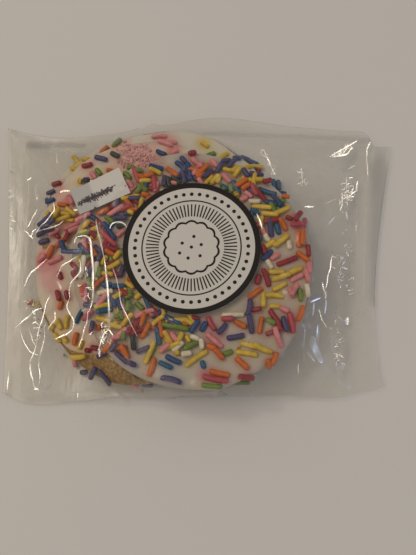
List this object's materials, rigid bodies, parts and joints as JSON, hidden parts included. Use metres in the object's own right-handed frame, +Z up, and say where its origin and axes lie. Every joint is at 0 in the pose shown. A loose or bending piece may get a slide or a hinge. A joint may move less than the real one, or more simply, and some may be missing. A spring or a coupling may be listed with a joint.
{
  "type": "packaged sugar cookies",
  "caption": "Clear sealed bag holding a slid stack of round sugar cookies with white icing and coloured sprinkles, with a round paper label and a small price sticker on top.",
  "frame": {"origin": "on the surface the bag lies on, under the middle of the bag's box", "axes": "+X along the bag from the heat-sealed end to the folded end, +Y away from whoever reads the label, +Z up out of the label"},
  "size_m": [0.1582, 0.1157, 0.0228],
  "materials": {
    "bag_film": "thin clear plastic film, glossy, slightly hazy, with creases",
    "label_paper": "coated white paper with black print",
    "sticker_paper": "uncoated white paper",
    "biscuit": "baked sugar dough, golden brown at the rim",
    "icing": "set white sugar icing, smooth with a soft sheen",
    "sprinkles": "glazed sugar sprinkles in several colours"
  },
  "bodies": {
    "root": {"bag": "bag_film", "label": "label_paper", "price_sticker": "sticker_paper"}
  },
  "joints": []
}
